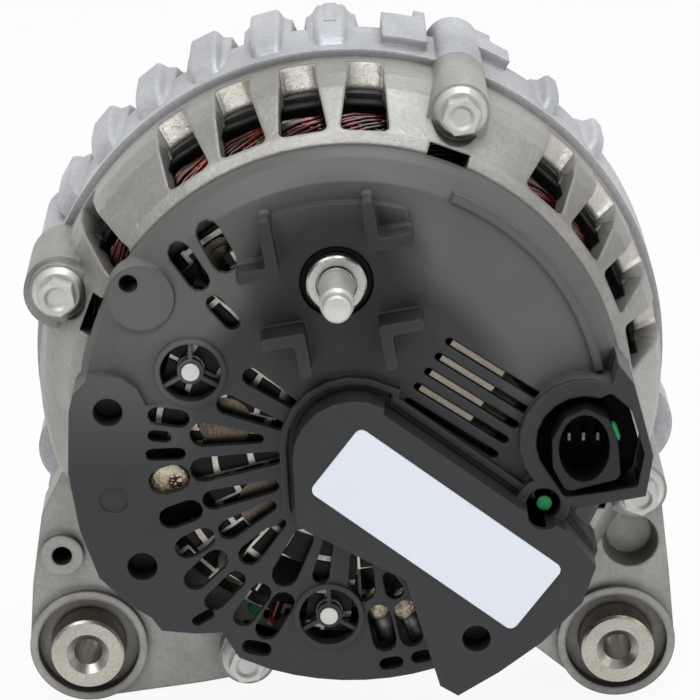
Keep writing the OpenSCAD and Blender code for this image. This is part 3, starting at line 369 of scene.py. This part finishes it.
def paint_hood_shade(n, colour):
    """Painted shade: black inside the hood round the plug socket."""
    x, y, t, _ = n.place()
    inside = n.math("MULTIPLY", n.near(x, y, HOOD_AT, *IN_HOOD), n.grey(t, 1, 0, *IN_HOOD_T))
    return n.mix(inside, colour, HOOD_PAINTED_SHADE)


def nylon(name, base, rough=0.5, speck=1.0, edge=0.0005, cover=False, gloss=0.5, rim=None):
    """Moulded plastic with flow marks and fibres, painted shade in its hollows, and edges lighter
    from wear and a painted highlight; on the cover a painted sheen and painted shade; above a rim it
    is grey.
    """
    n = Nodes(name)
    fine = n.noise(2600, 2, 0.6)
    flow = n.noise(34, 4, 0.6, n.scaled(1, 0.5, 1), 0.6)
    fibres = n.ramp(n.noise(700, 2, 0.5, n.scaled(1.0, 1.0, 0.35)), (0.62, BLACK), (0.72, WHITE))
    colour = n.mix(flow, times(base, 0.82), tuple(1.35*c + 0.004 for c in base))
    colour = n.mix(n.math("MULTIPLY", fibres, 0.22*speck), colour, times(base, 2.2, 1))
    if cover:
        colour = paint_dome_sheen(n, colour, base, flow)
    # Painted shade in the hollows
    colour = n.mix(n.hollow(0.014, 0.05, 0.6), times(base, 0.2), colour)
    if cover:
        colour = paint_hood_shade(n, colour)
    if rim:
        t = n.place()[2]
        colour = n.mix(n.grey(t, 0, 1, rim - 0.3, rim), colour, RIM_GREY)
    # Edges lighter from wear and a painted highlight
    wear_and_highlight = n.edge_wear_and_highlight(edge*1.2)
    colour = n.mix(n.math("MULTIPLY", wear_and_highlight, 0.5), colour, times(base, 2.4))
    normal = n.bump((fine, 0.12*speck, 0.00015), (flow, 0.05, 0.001), radius=edge)
    roughness = n.grey(flow, rough - 0.07, rough + 0.07)
    return n.set(Base_Color=colour, Roughness=roughness, Normal=normal, Specular_IOR_Level=gloss)


def enamelled_wire(name, light, dark):
    """Dark varnished wire with red glints, and painted shade between the strands."""
    n = Nodes(name)
    shade = n.noise(150, 4, 0.7)
    colour = n.ramp(shade, (0.40, dark), (0.55, times(light, 0.4)), (0.66, light))
    # Painted shade between the strands
    colour = n.mix(n.hollow(0.004, 0.2, 0.9), times(dark, 0.25), colour)
    normal = n.bump((n.noise(500, 2), 0.15, 0.0003))
    return n.set(Base_Color=colour, Metallic=0.5, Roughness=n.grey(shade, 0.18, 0.30), Normal=normal,
                 Coat_Weight=0.7, Coat_Roughness=0.1)


def film(name, base):
    """Smooth printed film."""
    n = Nodes(name)
    fine = n.noise(1500, 2)
    broad = n.noise(40, 2)
    colour = n.mix(broad, base, times(base, 0.96))
    normal = n.bump((fine, 0.05, 0.0001), (broad, 0.05, 0.0008), radius=0.0002)
    return n.set(Base_Color=colour, Roughness=n.grey(fine, 0.36, 0.48), Normal=normal)


def finned_plate(name, light, dark):
    """Cast cooling plate in the shade of the cover, with painted shade: pockets painted near black
    round thin bright ribs, and darker hollows.
    """
    n = Nodes(name)
    x, y, _, _ = n.place()
    dx = n.math("SUBTRACT", x, RIB_CENTRE[0])
    dy = n.math("SUBTRACT", y, RIB_CENTRE[1])
    drift = n.math("MULTIPLY", n.noise(90, 2), 0.16)
    turn = n.math("ARCTAN2", dy, dx)
    clock = n.math("MULTIPLY_ADD", turn, 180/math.pi/RIB_PITCH, drift)
    row = n.math("MULTIPLY", n.math("FLOOR", clock), 0.37)
    out = n.math("MULTIPLY_ADD", n.distance(dx, dy), 1/RIB_SPACING, n.math("ADD", drift, row))
    ribs = n.math("MAXIMUM", n.grey(n.math("FRACT", clock), 1, 0, 0.10, 0.15),
                  n.grey(n.math("FRACT", out), 1, 0, 0.16, 0.21))
    spots = n.noise(300, 3)
    metal = n.ramp(spots, (0.36, dark), (0.62, light))
    # Painted shade: near black in the pockets between the ribs and darker in the hollows
    colour = n.mix(ribs, times(dark, 0.03), metal)
    colour = n.mix(n.hollow(0.012, 0.05, 0.6), times(dark, 0.03), colour)
    normal = n.bump((ribs, 0.9, 0.0008), (spots, 0.1, 0.0003), radius=0.0003)
    roughness = n.grey(spots, 0.25, 0.45)
    return n.set(Base_Color=colour, Metallic=0.9, Roughness=roughness, Normal=normal)


def crackled_gold(name):
    """Gilt metal, and on the diode's top a patch of dark crackled compound."""
    n = Nodes(name)
    cells = n.add("ShaderNodeTexVoronoi", Vector=n.coord, Scale=900, _feature="DISTANCE_TO_EDGE")
    cracks = n.grey(cells.outputs["Distance"], 1, 0, 0.10, 0.22)
    x, y, _, _ = n.place()
    patch = n.near(x, y, (DIODE_AT[0] + 1.4, DIODE_AT[1] - 0.2), 1.5, 2.2)
    shade = n.noise(260, 3)
    gilt = n.ramp(shade, (0.35, (0.36, 0.30, 0.20)), (0.62, (0.68, 0.60, 0.46)))
    colour = n.mix(n.math("MULTIPLY", cracks, patch), gilt, CRACK)
    normal = n.bump((cracks, 0.4, 0.0003), (shade, 0.2, 0.0004), radius=0.0003)
    roughness = n.grey(shade, 0.28, 0.45)
    return n.set(Base_Color=colour, Metallic=0.9, Roughness=roughness, Normal=normal)


def paint_mark(name, base):
    """A dab of brushed paint."""
    n = Nodes(name)
    brushed = n.noise(900, 3, 0.6)
    colour = n.ramp(brushed, (0.35, times(base, 0.6)), (0.6, base))
    normal = n.bump((brushed, 0.3, 0.0003), radius=0.0003)
    return n.set(Base_Color=colour, Roughness=n.grey(brushed, 0.35, 0.6), Normal=normal)


def carbon(name):
    """Pressed carbon with fine grains."""
    n = Nodes(name)
    grains = n.noise(1800, 3)
    colour = n.ramp(grains, (0.4, (0.02, 0.02, 0.02)), (0.6, (0.07, 0.07, 0.07)))
    normal = n.bump((grains, 0.2, 0.0002))
    return n.set(Base_Color=colour, Roughness=n.grey(grains, 0.4, 0.7), Normal=normal)


MATERIALS = {
    "cast_aluminium": cast_aluminium("cast_aluminium", (0.53, 0.52, 0.495), (0.37, 0.36, 0.34),
                                     rough=0.48),
    "machined_aluminium": machined("machined_aluminium", (0.62, 0.61, 0.59), (0.44, 0.43, 0.41), 0.3),
    "core_steel": machined("core_steel", (0.030, 0.032, 0.028), (0.012, 0.013, 0.012), 0.5,
                           metallic=0.2),
    "enamelled_copper": enamelled_wire("enamelled_copper", (0.34, 0.035, 0.022),
                                       (0.022, 0.010, 0.009)),
    "bare_copper": machined("bare_copper", (0.62, 0.46, 0.30), (0.34, 0.24, 0.15), 0.28, shade_depth=0.02),
    "zinc_plated_steel": machined("zinc_plated_steel", (0.76, 0.75, 0.73), (0.60, 0.59, 0.57), 0.5,
                                  turned=False, metallic=0.7, edge=0.0005),
    "bearing_steel": machined("bearing_steel", (0.70, 0.70, 0.70), (0.50, 0.50, 0.51), 0.2),
    "pole_steel": machined("pole_steel", (0.24, 0.235, 0.23), (0.11, 0.105, 0.10), 0.45, False),
    "pulley_steel": machined("pulley_steel", (0.055, 0.055, 0.06), (0.025, 0.025, 0.028), 0.36,
                             metallic=0.3),
    "bush_steel": machined("bush_steel", (0.58, 0.55, 0.49), (0.38, 0.355, 0.31), 0.32),
    "black_nylon": nylon("black_nylon", (0.0205, 0.0213, 0.0235), edge=0.0008, cover=True),
    "bobbin_nylon": nylon("bobbin_nylon", (0.62, 0.57, 0.46), 0.45, 0.5),
    "carbon": carbon("carbon"),
    "label_film": film("label_film", (0.865, 0.915, 1.0)),
    # Pins dulled below bare brass as painted shade, and darker still deep in the socket
    "pin_brass": machined("pin_brass", (0.34, 0.30, 0.22), (0.16, 0.14, 0.10), 0.22, shade_depth=0.02),
    # Sinks with painted shade where they lie deep under the cover
    "sink_aluminium": machined("sink_aluminium", (0.38, 0.34, 0.28), (0.22, 0.195, 0.155), 0.36,
                               shade_depth=0.012),
}
RECESSED = finned_plate("recessed_plate", (0.78, 0.76, 0.72), (0.50, 0.47, 0.42))
SHADED = machined("shaded_diode", (0.30, 0.25, 0.18), (0.10, 0.085, 0.065), 0.3, shade_depth=0.014)
# Painted shade: near black nylon for parts deep in the hood, under the cover and round the output
# stud; the plug turns grey above the hood's rim
PLUG = nylon("plug_nylon", PAINTED_SHADE_NYLON, 0.6, gloss=0.12, rim=HOOD_RIM_T)
SOCKET = nylon("socket_nylon", PAINTED_SHADE_NYLON, 0.6, gloss=0.12)
GREEN = paint_mark("green_paint", PAINT_GREEN)
# Painted light: a lighter copy of the casting for the lit sills of the windows
LIT_SILL = cast_aluminium("lit_sill_aluminium", (0.68, 0.655, 0.605), (0.53, 0.505, 0.46), 1.3, soot_and_shade=0.3)
# Painted light: a lighter, bluer copy of the casting for the front barrel under the top lamp
LIT_BARREL = cast_aluminium("lit_barrel_aluminium", (0.70, 0.71, 0.74), (0.53, 0.538, 0.56), 0.7, 0.52)
GILT = crackled_gold("crackled_gold")
LEAD_GREY = machined("lead_grey", (0.30, 0.29, 0.28), (0.15, 0.145, 0.14), 0.38)
OWN_FINISH = {"positive_plate": RECESSED, "negative_plate": RECESSED, "regulator_body": PLUG,
              "lead_frame": SOCKET, "brush_holder": SOCKET, "output_insulator": SOCKET,
              "front_housing": LIT_BARREL, "positive_diodes": SHADED, "negative_diodes": SHADED}
for part in frame["record"]["subparts"]:
    solid = frame["nodes"][part["node"]]
    solid.data.materials.clear()
    solid.data.materials.append(OWN_FINISH.get(part["node"], MATERIALS[part["material_slot"]]))


# Pieces
def loft(bm, sections):
    """A closed body through sections with equal numbers of points."""
    rings = [[bm.verts.new(p) for p in section] for section in sections]
    count = len(rings[0])
    for low, high in zip(rings, rings[1:]):
        for k in range(count):
            bm.faces.new((low[k], low[(k + 1) % count], high[(k + 1) % count], high[k]))
    bm.faces.new(list(reversed(rings[0])))
    bm.faces.new(rings[-1])


def wire(bm, points, radius, sides):
    """A round wire along the points, with its radius in mm."""
    circle = [(math.cos(a)*radius*MM, math.sin(a)*radius*MM)
              for a in (2*math.pi*k/sides for k in range(sides))]
    sections = []
    for i, p in enumerate(points):
        ahead = points[min(i + 1, len(points) - 1)] - points[max(i - 1, 0)]
        turn = ahead.to_track_quat("Z", "Y")
        sections.append([p + turn @ Vector((u, v, 0)) for u, v in circle])
    loft(bm, sections)


def make_piece(name, bm, material, smooth=True):
    """The finished piece, which rides the housing."""
    mesh = bpy.data.meshes.new(name)
    bmesh.ops.recalc_face_normals(bm, faces=bm.faces)
    bm.to_mesh(mesh)
    bm.free()
    if smooth:
        mesh.shade_smooth()
    piece = bpy.data.objects.new(name, mesh)
    bpy.context.scene.collection.objects.link(piece)
    piece.data.materials.append(material)
    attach(piece, "housing")
    return piece


def window_sills():
    """The slanted casting skin that leads from the rim of each window down to the core."""
    bm = bmesh.new()
    steps = 8
    front = WINDOW_FROM - 0.2
    for clock in WINDOWS:
        sections = []
        for i in range(steps + 1):
            across = (i/steps - 0.5)*(WINDOW_W + 0.5)
            flare = (2*i/steps - 1)**4
            foot = CORE_R + 0.1
            top = math.sqrt(BRACKET_R**2 - across**2) - 0.15
            outline = [(foot, front), (top, front), (top, WINDOW_FROM + 0.3 + 2.5*flare),
                       (CORE_R + 1.0, WINDOW_FROM + 3.3 + 2.0*flare),
                       (foot, WINDOW_FROM + 3.5 + 2.0*flare)]
            sections.append([at_clock(clock, across, r, t) for r, t in outline])
        loft(bm, sections)
    # The sills take the lighter copy of the casting, as painted light
    make_piece("window_sills", bm, LIT_SILL, False)


def fin_rises(start, end):
    """How far a fin has risen out of the barrel, at places along it."""
    steps = 8
    rises = []
    for i in range(steps + 1):
        share = (i/steps)**1.3
        rises.append((FIN_FOOT_T + (start - FIN_FOOT_T)*i/steps, 1.15*share/(0.15 + share)))
    return rises + [(end - 1.5, 1.0), (end - 0.3, 0.8), (end + 0.2, 0.45)]


def barrel_fins():
    """The broad cast skin of the front bracket's fins, which rise out of the barrel by a slope."""
    bm = bmesh.new()
    foot = BRACKET_R + BARREL_STEP
    low = foot - 1.0

    def risen(r, rise):
        return low + (r - low)*rise if r > low else r

    for clock, w, start, end in UPPER_FINS + LOWER_FINS + SMALL_FINS:
        tip = BRACKET_R + FIN_HEIGHT + (0.55 if abs(clock) > TOP_CLOCK else -0.12)
        half = [(foot - 3, w + 3.6), (foot - 0.5, w + 3.1), (foot + 0.9, w + 1.3),
                (tip - 0.7, w + 0.7), (tip, w)]
        outline = [(r, -a) for r, a in half] + [(r, a) for r, a in reversed(half)]
        loft(bm, [[at_clock(clock, a*(0.7 + 0.3*rise), risen(r, rise), -z) for r, a in outline]
                  for z, rise in fin_rises(start, end)])
    # The fins take the lighter copy of the casting, as painted light
    make_piece("barrel_fins", bm, LIT_BARREL, False)


def disc(name, at, radius, t0, t1, material, dome=0.15, stretch=1.0):
    """A low round button that stands on the face at t0."""
    bm = bmesh.new()
    sides = 40
    profile = [(radius, t0), (radius, t1 - 0.3), (radius*0.93, t1 - 0.08), (radius*0.75, t1),
               (radius*0.4, t1 + dome*0.7), (0.02, t1 + dome)]
    turns = [2*math.pi*k/sides for k in range(sides)]
    loft(bm, [[bench(at[0] + r*math.cos(a), at[1] + stretch*r*math.sin(a), t) for a in turns]
              for r, t in profile])
    make_piece(name, bm, material)


def lead_tails():
    """The flat leads that run from their gilt ends out to the rim under the lowest slots."""
    bm = bmesh.new()
    flat = [(-2.4, 41), (-1.9, 40.4), (1.9, 40.4), (2.4, 41), (2.4, 43), (1.6, 43.6), (-1.6, 43.6),
            (-2.4, 43)]
    for (x, y), slope in LEAD_ENDS:
        loft(bm, [[bench(x + slope*away + a, y - away, t) for a, t in flat]
                  for away in (2.0, 6.5, 11.0)])
    make_piece("lead_tails", bm, LEAD_GREY)


def shroud_mark():
    """A dab of paint on the right side of the plug socket."""
    bm = bmesh.new()
    outline = [(50.8, -1.6), (52.6, -2.6), (55.6, -2.2), (57.2, -0.6), (56.6, 1.6), (54.2, 2.3),
               (51.6, 1.2)]
    side = Vector((-0.34, 0.94))
    out = Vector((0.94, 0.34))
    sections = []
    for lift, grow in ((-0.25, 1.0), (0.5, 1.0), (0.9, 0.75)):
        x = SHROUD_MARK_AT[0] + out.x*lift
        y = SHROUD_MARK_AT[1] + out.y*lift
        sections.append([bench(x + side.x*a*grow, y + side.y*a*grow,
                               SHROUD_MARK_T + (t - SHROUD_MARK_T)*grow) for t, a in outline])
    loft(bm, sections)
    make_piece("shroud_mark", bm, GREEN)


def brush_coil(name, node, t):
    """The wire spring behind a brush, built at one length in place of the part's own spring, which it
    hides; the real spring shortens as the brush slides back.
    """
    bm = bmesh.new()
    ahead = Vector((math.cos(BRUSH_DIR), math.sin(BRUSH_DIR)))
    steps = COIL_TURNS*COIL_STEPS
    points = []
    for i in range(steps + 1):
        a = 2*math.pi*COIL_TURNS*i/steps
        u = COIL_FROM + WIRE_R + (COIL_TO - COIL_FROM - 2*WIRE_R)*i/steps
        v = COIL_R*math.cos(a)
        points.append(bench(ahead.x*u - ahead.y*v, ahead.y*u + ahead.x*v, t + COIL_R*math.sin(a)))
    wire(bm, points, WIRE_R, 8)
    slot_name = next(p["material_slot"] for p in frame["record"]["subparts"] if p["node"] == node)
    piece = make_piece(name, bm, MATERIALS[slot_name])
    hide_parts(node)
    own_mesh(piece)


def end_turns(name, face, side):
    """Ribbons of parallel strands that wind round the swell between two slots far apart."""
    bm = bmesh.new()
    mid = (COIL_IN + COIL_OUT)/2
    half_w = (COIL_OUT - COIL_IN)/2
    half_h = OVERHANG/2
    for s in range(SLOTS):
        lean = 1 if s % 2 else -1
        for w in range(STRANDS):
            points = []
            for i in range(STRAND_STEPS + 1):
                u = i/STRAND_STEPS
                phi = math.radians((0.5 - u)*STRAND_WRAP + (w - STRANDS/2)*STRAND_PITCH)
                wave = 0.22*math.sin(9*u + 5.0*s + 2.3*w)
                proud = (0.75 if lean > 0 else 0.2) + wave
                r = mid + (half_w + proud)*math.sin(phi)
                t = face + side*(half_h + (half_h + proud)*math.cos(phi))
                a = math.radians(360/SLOTS*s + lean*STRAND_SPAN*(u - 0.5))
                points.append(bench(r*math.cos(a), r*math.sin(a), t))
            wire(bm, points, STRAND_R, 5)
    make_piece(name, bm, MATERIALS["enamelled_copper"])


window_sills()
barrel_fins()
disc("regulator_screw_cap", SCREW_AT, 2.0, SCREW_TOP_T - 0.1, SCREW_CAP_T, SOCKET)
disc("regulator_screw_mark", SCREW_AT, 1.85, SCREW_CAP_T - 0.2, SCREW_CAP_T + 0.4, GREEN)
disc("mark_on_bracket", BRACKET_MARK_AT, 2.1, REAR_DEPTH - 0.1, REAR_DEPTH + 0.2, GREEN)
disc("diode_top", DIODE_AT, 4.5, PLATE_TOP_T, PLATE_TOP_T + 0.9, GILT)
for number, (place, _) in enumerate(LEAD_ENDS, 1):
    disc(f"lead_end_{number}", place, 2.9, REAR_DEPTH - 0.1, LEAD_END_T, GILT,
         dome=0.5, stretch=1.5)
lead_tails()
shroud_mark()
brush_coil("brush_coil_1", "brush_spring_1", BRUSH_1_T)
brush_coil("brush_coil_2", "brush_spring_2", BRUSH_2_T)
end_turns("winding_strands_rear", CORE_REAR, 1)
end_turns("winding_strands_front", CORE_FRONT, -1)


# Floor, light and camera
scene = bpy.context.scene


def floor_white():
    """Bright as seen by the camera and in reflections, but grey to the light that it sends back."""
    n = Nodes("floor_white")
    path = n.add("ShaderNodeLightPath").outputs
    seen = n.math("MAXIMUM", path["Is Camera Ray"],
                  n.math("MAXIMUM", path["Is Glossy Ray"], path["Is Transmission Ray"]))
    matte = n.add("ShaderNodeBsdfDiffuse", Color=(0.86, 0.86, 0.86, 1))
    glow = n.add("ShaderNodeEmission", Color=(1, 1, 1, 1), Strength=1.0)
    blend = n.add("ShaderNodeMixShader")
    n.put(blend, "0", n.math("MULTIPLY", seen, 0.93))
    n.put(blend, "1", matte.outputs[0])
    n.put(blend, "2", glow.outputs[0])
    n.put(n.out, "Surface", blend.outputs[0])
    return n.mat


def studio_floor():
    """A pale floor that bends up into a wall far behind the part."""
    size, wall_at, bend_r, wall_top = 3.0, 1.2, 0.8, 3.0
    profile = [(-size, 0.0), (wall_at, 0.0)]
    for a in (math.radians(d) for d in range(10, 91, 10)):
        profile.append((wall_at + bend_r*math.sin(a), bend_r - bend_r*math.cos(a)))
    profile.append((wall_at + bend_r, wall_top))
    bm = bmesh.new()
    left, right = ([bm.verts.new((x, y, cad_lo.z + z)) for y, z in profile] for x in (-size, size))
    for i in range(len(profile) - 1):
        bm.faces.new((left[i], right[i], right[i + 1], left[i + 1]))
    mesh = bpy.data.meshes.new("floor")
    bm.to_mesh(mesh)
    bm.free()
    mesh.shade_smooth()
    floor = bpy.data.objects.new("floor", mesh)
    scene.collection.objects.link(floor)
    floor.data.materials.append(floor_white())


def studio_world():
    """White as seen by the camera, and a weak even light on the part."""
    world = bpy.data.worlds.new("studio")
    scene.world = world
    world.use_nodes = True
    tree = world.node_tree
    background = tree.nodes["Background"]
    background.inputs["Color"].default_value = (1.0, 1.0, 1.0, 1)
    light_path = tree.nodes.new("ShaderNodeLightPath")
    strength = tree.nodes.new("ShaderNodeMapRange")
    strength.inputs["To Min"].default_value = 0.34
    strength.inputs["To Max"].default_value = 1.0
    tree.links.new(light_path.outputs["Is Camera Ray"], strength.inputs["Value"])
    tree.links.new(strength.outputs[0], background.inputs["Strength"])


def area_light(name, place, width, height, power, colour):
    """A soft box that points at the part, with sizes in metres and power in watts."""
    target = Vector((0, -0.08, 0))
    lamp = bpy.data.lights.new(name, "AREA")
    lamp.color = colour
    lamp.shape = "RECTANGLE"
    lamp.size = width
    lamp.size_y = height
    lamp.energy = power
    holder = bpy.data.objects.new(name, lamp)
    scene.collection.objects.link(holder)
    holder.location = place
    holder.rotation_mode = "QUATERNION"
    holder.rotation_quaternion = (target - Vector(place)).to_track_quat("-Z", "Y")


def photo_camera():
    """The distance, elevation, azimuth, roll and scale that match the photograph."""
    distance = 0.900
    elevation = math.radians(19.5)
    azimuth = math.radians(0.37)
    roll = math.radians(0.38)
    photo_px = 700
    px_per_mm = 4.021
    sensor = 36
    forward = Vector((math.sin(azimuth)*math.cos(elevation), math.cos(azimuth)*math.cos(elevation),
                      -math.sin(elevation)))
    level = Vector((math.cos(azimuth), -math.sin(azimuth), 0))
    upright = level.cross(forward)
    right = level*math.cos(roll) - upright*math.sin(roll)
    up = level*math.sin(roll) + upright*math.cos(roll)
    data = bpy.data.cameras.new("camera")
    camera = bpy.data.objects.new("camera", data)
    scene.collection.objects.link(camera)
    turn = Matrix((right, up, -forward)).transposed().to_4x4()
    camera.matrix_world = Matrix.Translation(bench(0, 0, 0) - forward*distance) @ turn
    data.sensor_width = sensor
    data.lens = sensor*px_per_mm*distance/MM/photo_px
    data.shift_x = -0.2/photo_px
    data.shift_y = 2.0/photo_px
    data.clip_start = 0.05
    data.clip_end = 20
    scene.camera = camera


scene.view_settings.view_transform = "Standard"
studio_floor()
studio_world()
area_light("key", (-0.55, -0.85, 1.05), 0.7, 0.5, 6.5, (1, 0.985, 0.96))
area_light("fill", (0.95, -0.75, 0.45), 0.8, 0.8, 3.2, (1, 0.99, 0.97))
area_light("top", (0.15, -0.05, 1.2), 0.9, 0.5, 8, (0.93, 0.965, 1))
photo_camera()
